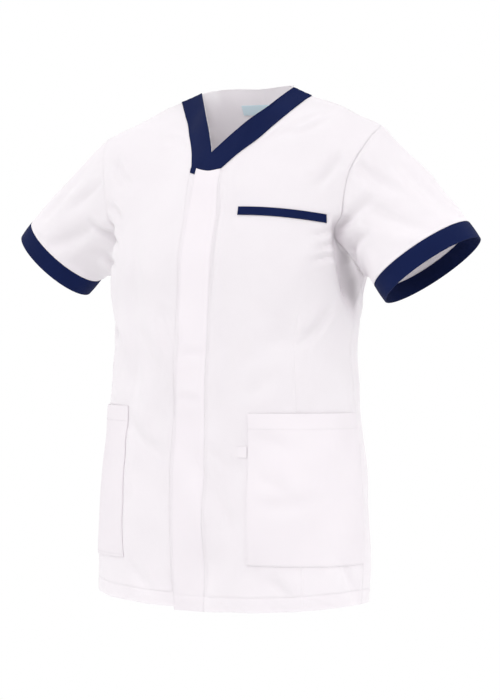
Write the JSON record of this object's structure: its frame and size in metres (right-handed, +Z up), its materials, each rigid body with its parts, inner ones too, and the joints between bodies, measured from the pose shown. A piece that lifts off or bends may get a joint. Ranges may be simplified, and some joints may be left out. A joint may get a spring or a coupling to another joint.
{
  "type": "medical tunic",
  "caption": "Short-sleeved white medical tunic with a navy V neck, cuffs and breast welt, a front closing strip and hip pockets, filled out and hollow.",
  "frame": {"origin": "midway between the inner ends of the two shoulder seams, where the wearer's neck and shoulders carry the tunic", "axes": "+X towards the wearer's left, -Y towards the front, +Z up"},
  "size_m": [0.8061, 0.2377, 0.7622],
  "materials": {
    "white_cloth": "matt white poly-cotton twill",
    "navy_cloth": "matt navy poly-cotton twill",
    "label_cloth": "pale blue woven label, plain"
  },
  "bodies": {
    "root": {"back": "white_cloth", "front_left": "white_cloth", "front_right": "white_cloth", "placket": "white_cloth", "sleeve_left": "white_cloth", "sleeve_right": "white_cloth", "pocket_left": "white_cloth", "pocket_right": "white_cloth", "pocket_tab": "white_cloth", "cuff_left": "navy_cloth", "cuff_right": "navy_cloth", "neck_band_left": "navy_cloth", "neck_band_right": "navy_cloth", "chest_welt": "navy_cloth", "neck_label": "label_cloth"}
  },
  "joints": []
}
